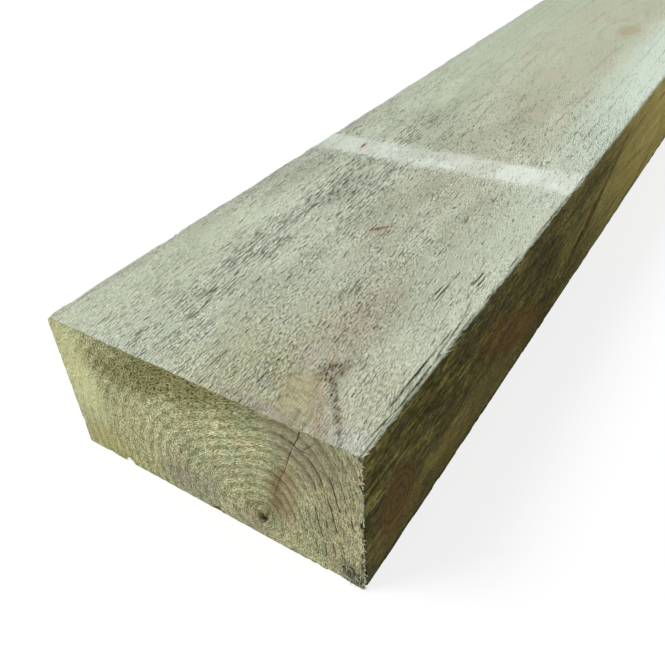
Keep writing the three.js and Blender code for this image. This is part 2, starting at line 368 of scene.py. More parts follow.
def check_lines(root, mouth, gape, inward):
    """Places and edges of a check's floor and lips in an end face, and of nothing else."""
    root, mouth = np.array(root), np.array(mouth)
    run = mouth - root
    across = np.array([-run[1], run[0]]) / np.linalg.norm(run) * inward
    shares = np.linspace(0.0, 0.97, CHECK_POINTS)[:, None]
    kink = CHECK_KINK * np.sin(2 * np.pi * CHECK_KINK_TURNS * shares) * (1 - shares)
    centres = root + run * shares + across * kink
    spread = gape / 2 * (CHECK_TIP_SHARE + (1 - CHECK_TIP_SHARE) * shares) + 0.05 * MM
    places = np.concatenate([centres - across * spread, centres, centres + across * spread])
    edges = [(i, i + 1) for i in range(len(places) - 1) if (i + 1) % CHECK_POINTS]
    return list(places), edges


def front_check():
    mouth = np.array([low.y + FRONT_CHECK_INSET, THICKNESS])
    root = mouth + (CHECK_AIM - mouth) / np.linalg.norm(CHECK_AIM - mouth) * FRONT_CHECK_LENGTH
    return check_lines(root, mouth, FRONT_CHECK_GAPE, 1)


def back_checks():
    """The star of checks that opens from the pith of the back end."""
    checks = []
    for index, angle in enumerate(BACK_CHECK_ANGLES):
        turn = math.radians(angle)
        reach = BACK_CHECK_LENGTH * (BACK_CHECK_SHORT_SHARE if index % 2 else 1)
        tip = CHECK_AIM + np.array([math.cos(turn), math.sin(turn)]) * reach
        checks.append(check_lines(tip, CHECK_AIM, BACK_CHECK_GAPE, -1))
    return join(*checks)


def top_check():
    """The first stretch of the front check where it opens in the top, in three lines that close in."""
    places = []
    for side in (-0.55, 0, 0.55):
        for share in (0.0, 0.5, 1.0):
            along = 0.3 * MM + FRONT_CHECK_RUN * share
            across = FRONT_CHECK_INSET + side * FRONT_CHECK_GAPE * (1 - 0.8 * share)
            places.append((low.x + along, low.y + across))
    return places, [(0, 1), (1, 2), (3, 4), (4, 5), (6, 7), (7, 8)]


def uneven_places(corner, size, step, seed, keep_clear):
    """Places spread unevenly over a rectangle, in shifted rows, each clear of given places by their
    distance."""
    row_step = 0.87 * step
    columns, rows = int(size[0] / step), int(size[1] / row_step)
    column, row = [axis.ravel() for axis in np.meshgrid(np.arange(1, columns), np.arange(1, rows))]
    cells = np.stack([column, row, 0 * row], axis=-1)
    loose = 0.4 * (np.stack([random_at(cells, seed), random_at(cells, seed + 1)], axis=-1) - 0.5)
    loose[:, 0] += 0.5 * (row % 2)
    places = np.array(corner) + (np.stack([column, row], axis=-1) + loose) * (step, row_step)
    edge = np.array(corner) + np.array(size) - 0.6 * step
    places = places[(places < edge).all(axis=1)]
    for fixed, clear in keep_clear:
        tree = KDTree(len(fixed))
        for index, (a, b) in enumerate(fixed):
            tree.insert((a, b, 0), index)
        tree.balance()
        places = places[[tree.find((a, b, 0))[2] > clear for a, b in places]]
    return places


def fill(loop, loop_places, places, edges, count):
    """Triangles over the places inside a loop of known points: their vertex numbers, and for each
    new vertex its place and the number of the place that it came from."""
    flat = [Vector(place) / MM for place in itertools.chain(loop_places, places)]
    rim = [(i, (i + 1) % len(loop)) for i in range(len(loop))]
    lines = [(a + len(loop), b + len(loop)) for a, b in edges]
    found, _, triangles, sources = delaunay_2d_cdt(flat, rim + lines, [], 1, 1e-5)[:4]
    numbers, new, origins = [], [], []
    for place, source in zip(found, sources):
        if source and min(source) < len(loop):
            numbers.append(loop[min(source)])
        else:
            numbers.append(count + len(new))
            new.append(place * MM)
            origins.append(min(source) - len(loop) if source else -1)
    return [tuple(numbers[k] for k in triangle) for triangle in triangles], np.array(new), origins


def solid_depths(places, axis_out, flat_at):
    """Depth of the solid's surface below a flat face: open checks, splits and pits."""
    depths = []
    for place in places:
        start = Vector(place) + axis_out * RAY_START
        hit = cad_surface.ray_cast(start, -axis_out)[0]
        depths.append(0.0 if hit is None else min(flat_at - hit.dot(axis_out), DEEPEST))
    return np.maximum(depths, 0)


def limit_depth(points, outs):
    """Depth of each point of the rings below the nearer flat face, with deep cracks' floors raised."""
    room = np.stack([WIDTH / 2 - np.abs(points[:, 1]), points[:, 2], THICKNESS - points[:, 2]])
    depth = room.min(axis=0)
    points[:, 1:] += outs * np.maximum(depth - DEEPEST, 0)[:, None]
    return np.minimum(depth, DEEPEST)


def solid_lines():
    """Places and edges of the solid's own splits in the front stretch of the top."""
    numbers, edges = {}, []
    for edge in cad.edges:
        ends = [cad.vertices[i].co for i in edge.vertices]
        in_top = all(
            p.z > THICKNESS - 3 * MM
            and abs(p.y) < WIDTH / 2 - ARRIS_REACH - 0.3 * MM
            and 1 * MM < p.x - low.x < ZONES[0][0] - 1 * MM
            for p in ends
        )
        if in_top:
            edges.append(tuple(numbers.setdefault((p.x, p.y), len(numbers)) for p in ends))
    return list(numbers), edges


def tear_outlines(cracks):
    """Places, edges and depths of the tears in the front stretch of the top: a pointed outline each,
    raised a little, with a floor that is deep where the bundle broke off and runs out along the
    grain. They stay clear of the places of other cracks."""
    draw = np.random.default_rng(5)
    margin = ARRIS_REACH + 2 * MM
    along = draw.uniform(4 * MM, ZONES[0][0] - 9 * MM, TEAR_TRIES)
    from_rear = draw.uniform(margin, WIDTH - margin, TEAR_TRIES)
    belt = np.exp(-((from_rear - TEAR_BELT) / TEAR_BELT_REACH) ** 2)
    long = (2.2 + 4.2 * draw.random(TEAR_TRIES) ** 2.0 * (0.45 + 0.55 * belt)) * MM
    wide = (0.27 + 0.23 * draw.random(TEAR_TRIES)) * MM
    slant = TEAR_SLANT + 0.07 * draw.standard_normal(TEAR_TRIES)
    chosen = np.array(LONG_TEARS) * MM
    for column, values in zip(chosen.T, (along, from_rear, long, wide)):
        values[:len(chosen)] = column
    deep = (0.6 + 0.7 * draw.random(TEAR_TRIES)) * MM
    spots = np.column_stack([low.x + along, high.y - from_rear, np.full(TEAR_TRIES, THICKNESS)])

    # They are likelier in the belt, in patches and on the ring lines. Knots have none, nor has the
    # smooth wood of the cut-off knot but for its streak.
    wood = wood_fields(spots)
    off_line = 2 * np.abs((wood["growth"] / RING_WIDTH + 0.5) % 1 - 0.5)
    patch = smooth_step(-0.5, 0.4, noise(spots, (0.08, 0.02, 0.02), 24))
    on_line = 0.12 + 0.88 * (1 - smooth_step(0.1, 0.5, off_line))
    chance = (0.12 + 0.88 * belt) * (0.2 + 0.8 * patch) * on_line * (wood["knot"] < 0.05)
    chance *= (along > 40 * MM) | (np.abs(from_rear - 165 * MM) > 22 * MM)
    cos, sin = math.cos(KNOT_STREAK_TURN), math.sin(KNOT_STREAK_TURN)
    back, over = KNOT_STREAK_START[0] * MM - along, from_rear - KNOT_STREAK_START[1] * MM
    down_streak = back * cos + over * sin
    in_streak = np.abs(over * cos - back * sin) < KNOT_STREAK_HALF_WIDTH
    in_streak &= (down_streak > -3 * MM) & (down_streak < KNOT_STREAK_LENGTH)
    chance[in_streak] = 0.12
    long[in_streak] *= 0.7
    chance[:len(chosen)] = 1

    taken = np.array([(x, y, TEAR_GAP, TEAR_GAP) for x, y in cracks])
    places, edges, depths = [], [], []
    for i in np.flatnonzero(draw.random(TEAR_TRIES) < chance):
        reach = np.array([long[i] + 0.4 * MM, wide[i] + 0.2 * long[i] + 0.35 * MM])
        apart = np.abs(taken[:, :2] - spots[i, :2]) > taken[:, 2:] + reach
        if not apart.any(axis=1).all():
            continue
        taken = np.vstack([taken, [*spots[i, :2], *reach]])
        count = 6 if long[i] < 1.8 * MM else 10
        turns = 2 * np.pi * np.arange(count) / count
        sides = wide[i] * np.sin(turns) * draw.uniform(0.6, 1.3, count)
        outline = np.column_stack([long[i] * np.cos(turns), sides])
        floor_sides = wide[i] * draw.uniform(-0.3, 0.3, 3)
        floor = np.column_stack([long[i] * np.array([-0.62, -0.1, 0.5]), floor_sides])
        cos, sin = math.cos(slant[i]), math.sin(slant[i])
        turned = np.vstack([outline, floor]) @ np.array([[cos, sin], [-sin, cos]])
        edges += [(len(places) + k, len(places) + (k + 1) % count) for k in range(count)]
        places += list(spots[i, :2] + turned)
        depths += [-TEAR_LIP] * count + [deep[i], 0.9 * deep[i], 0.5 * deep[i]]
    return places, edges, depths


def sawn_relief(points, fine, knot):
    """Height over the flat of a sawn face's woolly fibres and of the saw's ridges, which are 7 mm
    apart and a little aslant."""
    along = points[:, 0] - low.x
    fuzz = 0.12 * noise(points, (0.006, 0.0016, 0.0016), 21)
    fuzz += 0.10 * noise(points, (0.025, 0.003, 0.003), 22)
    saw = (along + 0.12 * points[:, 1]) / (7 * MM) + 0.3 * noise(points, (0.1, 0.1, 0.1), 23)
    return fine * (fuzz * (1 - 0.7 * (knot > 0)) + 0.04 * np.sin(2 * np.pi * saw)) * MM


def end_relief(points, growth):
    """Height over the flat of an end face's rings and torn fibre bundles."""
    rings = 0.14 * np.cos(2 * np.pi * growth / RING_WIDTH)
    bundles = 0.20 * noise(points, (0.01, 0.0022, 0.0022), 31)
    return (rings + bundles) * MM


points, outs, fine, faces, rows = long_faces()
depth = limit_depth(points, outs)
ring_points = len(points)

# The woolly top of the front stretch, between the first ring, the arrises and the next zone.
open_rows = [top for top, _ in rows if len(top) == 2]
rear_row, front_row = zip(*open_rows)
top_loop = [*rows[0][0], *front_row, *rows[len(open_rows) + 1][0][::-1], *rear_row[::-1]]
cracks = join(solid_lines(), top_check())
tears, tear_edges, tear_depths = tear_outlines(cracks[0])
known, known_edges = join(cracks, (tears, tear_edges))
rim = points[top_loop][:, :2]
keep_clear = [(rim, 0.5 * TOP_STEP), (known, 0.8 * MM)]
loose = uneven_places((low.x, low.y), (ZONES[0][0], WIDTH), TOP_STEP, 45, keep_clear)
loose = loose[np.abs(loose[:, 1]) < WIDTH / 2 - ARRIS_REACH - 0.4 * TOP_STEP]
triangles, places, origins = fill(top_loop, rim, [*known, *loose], known_edges, len(points))
faces += triangles
sawn_faces = len(faces)
places = np.column_stack([places, np.full(len(places), THICKNESS)])
tear_depths = np.concatenate([np.zeros(len(cracks[0])), tear_depths, np.zeros(len(loose) + 1)])
torn = np.concatenate([np.zeros(ring_points), tear_depths[origins]])
points = np.concatenate([points, places])
outs = np.concatenate([outs, np.tile([0.0, 1.0], (len(places), 1))])
fine = np.concatenate([fine, np.ones(len(places))])

# Fibres bridge the splits in places, where they are shallow.
bridged = smooth_step(-0.25, 0.30, noise(places, (0.008, 0.05, 0.05), 61))
open_depth = solid_depths(places, Vector((0, 0, 1)), THICKNESS) * (0.15 + 0.85 * bridged)
depth = np.concatenate([depth, np.minimum(open_depth, SPLIT_FLOOR)])
points[ring_points:, 2] -= depth[ring_points:]
sawn_points = len(points)

# The two ends, each joined to the last ring of the sawn sides.
ends = []
for (top, rest), step, seed, (lines, line_edges), check_depth, outward in (
    (rows[0], FRONT_END_STEP, 41, front_check(), FRONT_CHECK_DEPTH, -1),
    (rows[-1], BACK_END_STEP, 43, back_checks(), DEEPEST, 1),
):
    loop = top + rest[1:-1]
    rim = points[loop][:, 1:]
    keep_clear = [(rim, 0.6 * step), (lines, 0.7 * MM)]
    loose = uneven_places((low.y, 0), (WIDTH, THICKNESS), step, seed, keep_clear)
    triangles, places, origins = fill(loop, rim, [*lines, *loose], line_edges, len(points))
    places = np.column_stack([np.full(len(places), outward * LENGTH / 2), places])
    ends.append((len(points), len(points) + len(places), outward))
    in_check = (np.array(origins) >= 0) & (np.array(origins) < len(lines))
    open_depth = solid_depths(places, Vector((outward, 0, 0)), LENGTH / 2)
    open_depth[in_check] = np.minimum(open_depth[in_check], check_depth)
    depth = np.concatenate([depth, open_depth])
    points = np.concatenate([points, places])
    faces += [triangle[::outward] for triangle in triangles]

# The relief: wool and tears on the sawn faces, frayed arrises, rings on the ends, and ragged edges
# round the front end, deepest on its upright front edge. The timber lies flat on its bed.
wood = wood_fields(points)
sawn = points[:sawn_points]
arris = smooth_step(0.82, 0.72, np.abs(outs).max(axis=1))
fray = noise(sawn, (0.011, 0.05, 0.05), 26) + 0.6 * noise(sawn, (0.0035, 0.05, 0.05), 28)
height = sawn_relief(sawn, fine, wood["knot"][:sawn_points]) - torn
height -= ARRIS_FRAY * fine * arris * smooth_step(0.0, 0.7, fray)
surface = points.copy()
surface[:sawn_points, 1:] += outs * height[:, None]
for begin, end, outward in ends:
    lift = end_relief(points[begin:end], wood["growth"][begin:end])
    surface[begin:end, 0] -= outward * (depth[begin:end] - np.minimum(lift, 0.1 * MM))
front_rim = np.array(rows[0][0] + rows[0][1][1:-1])
ragged = smooth_step(0.0, 1.0, noise(points[front_rim], (0.01, 0.003, 0.003), 27))
surface[front_rim, 0] += FRONT_RIM_RAGGED * ragged
front_edge = front_rim[points[front_rim, 1] < low.y + 2 * MM]
ragged = smooth_step(-0.2, 0.9, noise(points[front_edge], (0.01, 0.01, 0.0028), 29))
surface[front_edge, 1] += FRONT_EDGE_RAGGED * ragged
surface[:, 2] = np.maximum(surface[:, 2], 0)


def new_piece(name, points, faces):
    """Puts a mesh with its object in the scene."""
    mesh = bpy.data.meshes.new(name)
    mesh.from_pydata(points, [], faces)
    return new_object(name, mesh)


timber = new_piece("sleeper_timber", surface.tolist(), faces)


def masks():
    """What the materials read at every point: the wood's own fields, shares from 0 to 1 that say where
    each finish and each painted shade shows, and the depth of the tears in millimetres."""
    along = points[:, 0] - low.x
    facing = np.zeros((len(points), 2))
    facing[:sawn_points] = outs
    edge = wood["growth"] - HEARTWOOD_RADIUS + 4 * MM * noise(points, (0.2, 0.02, 0.02), 51)
    ragged = 0.15 * noise(points, (0.005, 0.003, 0.003), 54)
    ragged += 0.12 * noise(points, (0.0018, 0.0018, 0.0018), 55)
    faces_up = smooth_step(0.48, 0.58, facing[:, 1] + ragged)
    worn = noise(points, (0.007, 1, 1), 56) + 0.5 * noise(points, (0.003, 1, 1), 57)
    worn = (0.3 + 2.0 * smooth_step(0.0, 0.8, worn)) * MM - (THICKNESS - points[:, 2])
    near = 1 - 0.95 * smooth_step(0.27, 0.58, along + 0.08 * noise(points, (0.3, 0.02, 0.015), 52))
    return wood | {
        "heart": 1 - smooth_step(-8 * MM, 8 * MM, edge),
        "up": np.maximum(faces_up, smooth_step(-0.2 * MM, 0.2 * MM, worn)),
        # Painted shade on the sides near the front end, weaker on the rear side, which faces the light.
        # On the top the same share gives the near stretch a paler tint.
        "near_end_and_shade": near * (1 - 0.55 * smooth_step(0.6, 0.8, facing[:, 0])),
        "torn": np.pad(torn, (0, len(points) - sawn_points)) / MM,
        # Painted shade in the checks, splits and pits, by their depth, but not near the bed.
        "recess_shade": smooth_step(0.6 * MM, 2.0 * MM, depth) * smooth_step(5 * MM, 10 * MM, points[:, 2]),
        "woolly": (1.05 - 0.70 * smooth_step(0.22, 0.55, along)) * (1 - 0.6 * wood["knot"]),
    }


for name, values in masks().items():
    mask = timber.data.attributes.new(name, "FLOAT", "POINT")
    mask.data.foreach_set("value", values.astype(np.float32))


def linear(hex_colour):
    """The linear colour of an sRGB hex value."""
    parts = [int(hex_colour[i:i + 2], 16) / 255 for i in (1, 3, 5)]
    return (*[p / 12.92 if p <= 0.04045 else ((p + 0.055) / 1.055) ** 2.4 for p in parts], 1)


def connect(tree, node, sockets):
    """Fills a node's sockets, each given by its number or name, with values or links."""
    for socket, value in sockets.items():
        if isinstance(value, bpy.types.NodeSocket):
            tree.links.new(value, node.inputs[socket])
        else:
            node.inputs[socket].default_value = value


def add(tree, kind, *values, output=0, **settings):
    """Adds a node with its settings and gives one of its outputs. The values or links fill its first
    sockets in order, or come in one dictionary."""
    node = tree.nodes.new("ShaderNode" + kind)
    for name, value in settings.items():
        setattr(node, name, value)
    in_dictionary = values and isinstance(values[0], dict)
    connect(tree, node, values[0] if in_dictionary else dict(enumerate(values)))
    return node.outputs[output]


def new_material(looks):
    """A material with the name of a function that adds its nodes and gives its shader's sockets.
    Loose and open fibres mirror almost no light, so the specular level is low."""
    material = bpy.data.materials.new(looks.__name__)
    material.use_nodes = True
    tree = material.node_tree
    sockets = {"IOR": 1.5, "Specular IOR Level": 0.06} | looks(functools.partial(add, tree))
    connect(tree, tree.nodes["Principled BSDF"], sockets)
    return material


TIMES = {"operation": "MULTIPLY"}
TIMES_PLUS = {"operation": "MULTIPLY_ADD"}
SMOOTH = {"interpolation_type": "SMOOTHSTEP"}
TINTED = {"data_type": "RGBA", "blend_type": "MULTIPLY"}


def grain(node, along_mm, across_mm, detail=2, slant=0.0):
    """Noise from 0 to 1 with grains of a real size, long in the direction of the fibres."""
    place = node("TexCoord", output="Object")
    size = [1 / (mm * MM) for mm in (along_mm, across_mm, across_mm)]
    turned = node("Mapping", {"Vector": place, "Rotation": (0, 0, math.radians(slant))})
    scaled = node("Mapping", {"Vector": turned, "Scale": size})
    return node("TexNoise", {"Vector": scaled, "Scale": 1, "Detail": detail, "Roughness": 0.55})


def patches(node, along_mm, across_mm, start, full, detail=3, slant=0.0):
    """A share that rises from 0 to 1 between two heights of such a noise."""
    return node("MapRange", grain(node, along_mm, across_mm, detail, slant), start, full, **SMOOTH)


def on_top(along, from_rear, half_long, half_wide, turn=0, half_deep=1000):
    """An oval on the top: its place from the front end and the rear arris and its half sizes, in
    millimetres, and its turn in degrees."""
    return {
        "Location": (low.x + along * MM, high.y - from_rear * MM, THICKNESS),
        "Rotation": (0, 0, math.radians(turn)),
        "Scale": (half_long * MM, half_wide * MM, half_deep * MM),
    }


def on_side(along, up, half_long, half_high, turn=0, half_deep=60):
    """An oval on the front side, placed from the front end and the bed."""
    return {
        "Location": (low.x + along * MM, low.y, up * MM),
        "Rotation": (0, math.radians(turn), 0),
        "Scale": (half_long * MM, half_deep * MM, half_high * MM),
    }


def on_end(from_rear, down, half_wide, half_high, turn=0):
    """An oval on the front end, placed from the rear side and the top."""
    return {
        "Location": (low.x, high.y - from_rear * MM, THICKNESS - down * MM),
        "Rotation": (math.radians(turn), 0, 0),
        "Scale": (1, half_wide * MM, half_high * MM),
    }


def spot(node, oval, ragged_mm, softness=0.6, ragged=0.5):
    """A share that is 1 in an oval and fades over its edge, which is ragged at a real size."""
    around = {"Vector": node("TexCoord", output="Object")} | oval
    around = node("Mapping", around, vector_type="TEXTURE")
    reach = node("VectorMath", around, output=1, operation="LENGTH")
    loose = node("Math", grain(node, ragged_mm, ragged_mm, 3), 2 * ragged, -ragged, **TIMES_PLUS)
    reach = node("Math", reach, loose, operation="ADD")
    return node("MapRange", reach, 1 - softness, 1 + softness, 1, 0, **SMOOTH)


def layered(node, colour, layers):
    """Lays colours over a first one, each by the product of its shares."""
    for amount, *shares, tint in layers:
        for share in shares:
            amount = node("Math", amount, share, **TIMES)
        tint = linear(tint) if isinstance(tint, str) else tint
        colour = node("Mix", {0: amount, 6: colour, 7: tint}, output=2, data_type="RGBA")
    return colour


def weighted(node, amount, weights):
    """An amount times a factor for each share: one number where it is 0 and another where it is 1."""
    for share, at_none, at_full in weights:
        factor = node("MapRange", share, 0, 1, at_none, at_full)
        amount = node("Math", amount, factor, **TIMES)
    return amount


def in_ring(node, growth):
    """How far through its year's ring the wood is, and how far from that ring's middle."""
    ring = node("Math", growth, 1 / RING_WIDTH, **TIMES)
    ring = node("Math", ring, operation="FRACT")
    off_middle = node("Math", ring, 0.5, operation="SUBTRACT")
    return ring, node("Math", off_middle, operation="ABSOLUTE")


def sawn_treated_softwood(node):
    """Woolly band-sawn faces: matt, pale grey-green where they dried, olive brown at the near end of
    the sides, which is painted shade, and with short tears painted dark with the shade that they hold."""
    has = {name: node("Attribute", attribute_name=name, output="Fac") for name in
           ("growth", "knot", "red", "branch", "heart", "up", "near_end_and_shade", "torn", "recess_shade", "woolly")}
    mottle = patches(node, 90, 28, 0.35, 0.65)
    blotch = patches(node, 45, 12, 0.38, 0.62)
    streak = patches(node, 150, 9, 0.40, 0.68)
    patchy = patches(node, 40, 18, 0.36, 0.62, 2)

    # Lines of the rings, clear in some places and lost in others.
    line = node("MapRange", in_ring(node, has["growth"])[1], 0.30, 0.5, **SMOOTH)
    line = node("Math", line, streak, **TIMES)

    # The dried top: pinkish heartwood, a yellowish end, a bleached front strip and the white band
    # that a batten left across it.
    band = spot(node, on_top(280, 100, 15.5, 9000, 3.7, 9000), 9, 0.40, 0.6)
    band = weighted(node, band, [(patchy, 0.55, 1.0)])
    bleached = spot(node, on_top(150, 200, 190, 40), 20, 0.5, 0.4)
    top = layered(node, linear("#BEC8B1"), [
        (has["near_end_and_shade"], 1.0, "#DCE4CD"),
        (mottle, 0.80, "#B8C0A8"),
        (has["heart"], 0.18, "#BCB69A"),
        (has["heart"], blotch, 0.28, "#C9B7A0"),
        (spot(node, on_top(20, 125, 60, 34, 6), 22), 0.48, "#D0D0A6"),
        (spot(node, on_top(75, 152, 52, 18, 6), 14, 0.6, 0.6), 0.40, "#BBA992"),
        (spot(node, on_top(700, 200, 420, 42), 30, 0.5, 0.3), 0.82, "#DBE8D9"),
        (bleached, 0.50, "#C6CDB8"),
        (spot(node, on_top(600, 0, 800, 7), 12, 0.5, 0.4), 0.35, "#B5AEB0"),
        (spot(node, on_top(105, 106, 52, 34), 20), 0.40, "#DAE1CC"),
        (line, 0.26, "#868D6F"),
        (band, 0.70, "#E6EEE6"),
        (spot(node, on_top(268, 18, 26, 36), 10), 0.35, "#B9C1AC"),
        (spot(node, on_top(40, 22, 90, 36), 24), 0.45, "#B4BCA2"),
    ])

    # The cut-off knot at the front end: a smooth yellowish wedge, paler beside it, with a brown tear
    # and fibres that curl round it in fine dark lines.
    curl = node("Math", has["growth"], 2 * math.pi / (1.5 * MM), **TIMES)
    curl = node("MapRange", node("Math", curl, operation="SINE"), 0.1, 0.9, **SMOOTH)
    curl_at = spot(node, on_top(12, 138, 24, 13, 10, 1), 5, 0.5, 0.9)
    curl_near = spot(node, on_top(4, 165, 7, 9, 0, 1), 4, 0.5, 0.9)
    curl_at = node("Math", curl_at, curl_near, operation="MAXIMUM")
    threads = patches(node, 1.1, 8, 0.48, 0.66, 2, 14)
    wedge = spot(node, on_top(10, 159, 27, 11, 24, 1), 7, 0.4, 0.4)
    patch = spot(node, on_top(41, 160, 9, 5.5, -12, 1), 3, 0.5, 0.7)
    brown = spot(node, on_top(24, 171, 23, 2.2, 38, 1), 3, 0.6, 0.9)
    brown = node("Math", patch, brown, operation="MAXIMUM")
    nicks = patches(node, 3.6, 0.9, 0.50, 0.58, 1, -8)
    top = layered(node, top, [
        (spot(node, on_top(24, 184, 34, 13, 0, 1), 9, 0.6, 0.6), 0.55, "#BFBB9F"),
        (spot(node, on_top(41, 146, 10, 6, 20, 1), 7), 0.50, "#C6BEB2"),
        (wedge, 0.78, "#B3AC86"),
        (wedge, threads, 0.60, "#8E8763"),
        (spot(node, on_top(12, 171, 24, 4, 36, 1), 5), 0.48, "#A28B74"),
        (spot(node, on_top(5, 190, 8, 9, 0, 1), 6, 0.5), 0.55, "#C5C6BD"),
        (spot(node, on_top(2, 150, 5, 20, 0, 1), 6, 0.6, 0.7), 0.40, "#A39A93"),
        (curl, curl_at, 0.30, "#6C6650"),
        (brown, 0.50, "#86704A"),
        (patch, 0.35, "#6E5632"),
        (brown, nicks, 0.85, "#3C2F1C"),
        (spot(node, on_top(16, 130, 18, 26, 0, 1), 9, 0.5, 0.6), nicks, 0.34, "#4A4830"),
    ])

    # Painted shadows: dark lines along the front arris beside the splinters that stand up from it.
    for along, from_rear, half_long, turn in (
        (53, 195.4, 25, 0), (93, 196.8, 20, 3), (52, 198.6, 26, 0), (134, 200.2, 6, 6),
        (171, 198.3, 10, 0), (97, 199.4, 22, 1), (230, 199.0, 26, 0), (286, 199.6, 14, 2),
        (20, 197.5, 12, -4),
    ):
        splinter_shadow = spot(node, on_top(along, from_rear, half_long, 0.42, turn, 9000), 2.6, 0.5, 1.1)
        top = layered(node, top, [(splinter_shadow, 0.85, "#34331F")])

    # The sides: yellow-brown where they dried, and olive near the front end, where painted shade
    # darkens them.
    threads = patches(node, 26, 2.6, 0.36, 0.62)
    dry = layered(node, linear("#DDCD7B"), [
        (streak, 0.40, "#AF9D59"),
        (threads, 0.32, "#8C7B40"),
        (patchy, 0.20, "#766734"),
    ])
    near_end_and_shade = layered(node, linear("#B6AB5F"), [
        (streak, 0.45, "#4A411B"),
        (blotch, 0.45, "#2F2B0F"),
        (patchy, 0.40, "#302D12"),
        (threads, 0.55, "#211E08"),
        (patches(node, 5, 2.2, 0.38, 0.62, 2), 0.62, "#1C1905"),
    ])

    # Knots: smooth, yellowish on the top, reddish on the sides, with fine rings of their own.
    knot_ring = node("Math", grain(node, 14, 14, 3), 9.0, **TIMES)
    knot_ring = node("Math", has["branch"], 2 * math.pi / (5.0 * MM), knot_ring, **TIMES_PLUS)
    knot_ring = node("MapRange", node("Math", knot_ring, operation="SINE"), 0.1, 1.0, **SMOOTH)
    side = layered(node, dry, [
        # The painted shade of the near end of the sides.
        (has["near_end_and_shade"], 1.0, near_end_and_shade),
        # Painted light from the floor: paler low on the front side near the end.
        (spot(node, on_side(95, 16, 120, 22), 12, 0.6, 0.6), 0.42, "#A08F54"),
        (spot(node, on_side(187, 40, 60, 15, 26), 14, 0.5, 0.6), 0.50, "#7E562F"),
        (spot(node, on_side(355, 49, 72, 5, -25), 8), 0.58, "#493918"),
        # Painted shade along the foot of the front side, where it meets the floor.
        (spot(node, on_side(1200, 0, 9000, 4), 8, 0.4, 0.3), 0.6, "#302C19"),
        (spot(node, on_side(2, 6, 9, 10, 0, 12), 4, 0.4), 0.8, "#62604C"),
        (line, 0.45, "#363415"),
        (has["knot"], 0.55, "#766037"),
        (has["red"], 0.30, "#67452A"),
        (knot_ring, has["red"], 0.38, "#29200A"),
    ])

    # The top's own knots, and two dark red flecks of resin with their stains.
    top = layered(node, top, [
        (has["knot"], 0.6, "#AFA686"),
        (has["red"], 0.30, "#97755A"),
        (spot(node, on_top(171, 111.5, 9, 4, -42, 1), 3, 0.7, 0.4), 0.45, "#C69C86"),
        (spot(node, on_top(171, 111.5, 6.0, 1.2, -42, 1), 2, 0.5, 0.6), 0.85, "#6B3A2C"),
        (spot(node, on_top(278, 34.5, 8, 3, 7, 1), 3, 0.7, 0.4), 0.35, "#C8A898"),
        (spot(node, on_top(278, 34.5, 4.5, 1.0, 7, 1), 2, 0.5, 0.6), 0.80, "#5E3A30"),
    ])
    colour = layered(node, side, [(has["up"], 1.0, top)])

    # The wool that the saw raised, laid a little across the grain, with its light and shade painted
    # into the colour as well as bumped. Single fibres are too fine to show, so it is drawn in tufts of
    # 0.5 and 1 mm. It lies flat in the band, the wedge, the bleached strip and the quiet rear corner,
    # and stands up in the busy middle. On the sides, where the bump finds little light, its painted
    # light and shade are stronger.
    wool = node("MapRange", grain(node, 3.2, 1.0, 2, -6), 0.32, 0.68)
    nap = node("MapRange", grain(node, 2.3, 0.50, 1, -9), 0.30, 0.56)
    quiet = spot(node, on_top(60, 18, 120, 30), 20, 0.6, 0.4)
    busy = spot(node, on_top(76, 116, 84, 46), 20, 0.6, 0.4)
    busy_near = spot(node, on_top(32, 184, 34, 15), 10, 0.6, 0.4)
    busy = node("Math", busy, busy_near, operation="MAXIMUM")
    calm = weighted(node, has["woolly"], [
        (band, 1.0, 0.30), (wedge, 1.0, 0.40), (bleached, 1.1, 0.65), (quiet, 1.0, 0.55),
    ])
    rough = weighted(node, calm, [(patchy, 0.6, 1.15)])
    strong = weighted(node, rough, [(has["up"], 1.6, 1.0), (busy, 1.0, 1.25)])
    light = node("Math", nap, 0.62, node("Math", wool, 0.14, **TIMES), **TIMES_PLUS)
    light = node("Math", light, 0.50, operation="SUBTRACT")
    light = node("Math", light, strong, 1.03, **TIMES_PLUS)
    colour = node("Mix", {0: 1.0, 6: colour, 7: light}, output=2, **TINTED)

    # Small tears between the deep ones, dashes along the ring lines and dots between them, painted dark
    # with the shade in them, and painted highlights on the rims of the dashes.
    belt = spot(node, on_top(200, 60, 200, 26), 12, 0.5, 0.4)
    often = node("Math", belt, line, operation="MAXIMUM")
    often = weighted(node, patchy, [(often, 0.2, 1.0)])
    dashes = node("Math", often, 0.13, grain(node, 11, 0.9, 1, -6), **TIMES_PLUS)
    rim_highlights = node("MapRange", dashes, 0.62, 0.66, **SMOOTH)
    dashes = node("MapRange", dashes, 0.66, 0.70, **SMOOTH)
    dots = patches(node, 3.6, 0.75, 0.63, 0.67, 1, -9)
    colour = layered(node, colour, [
        (rim_highlights, calm, 0.25, "#E0E6D4"),
        (dashes, calm, 0.66, "#443F28"),
        (dots, rough, 0.46, "#48432A"),
        # Painted highlight on the raised lips of the deep tears, and painted shade on their floors.
        (node("MapRange", has["torn"], -0.02, -TEAR_LIP / MM), 0.35, "#E3E9D8"),
        (node("MapRange", has["torn"], 0.0, 0.25, **SMOOTH), 0.86, "#2C291A"),
        # Painted shade in the checks and splits.
        (has["recess_shade"], 0.80, "#332F1E"),
    ])
    height = node("Math", nap, 0.7, wool, **TIMES_PLUS)
    height = node("Math", dashes, -0.8, height, **TIMES_PLUS)
    height = node("Math", height, calm, **TIMES)
    bump = node("Bump", {"Height": height, "Distance": 0.6 * MM})
    return {"Base Color": colour, "Roughness": 0.9, "Normal": bump}


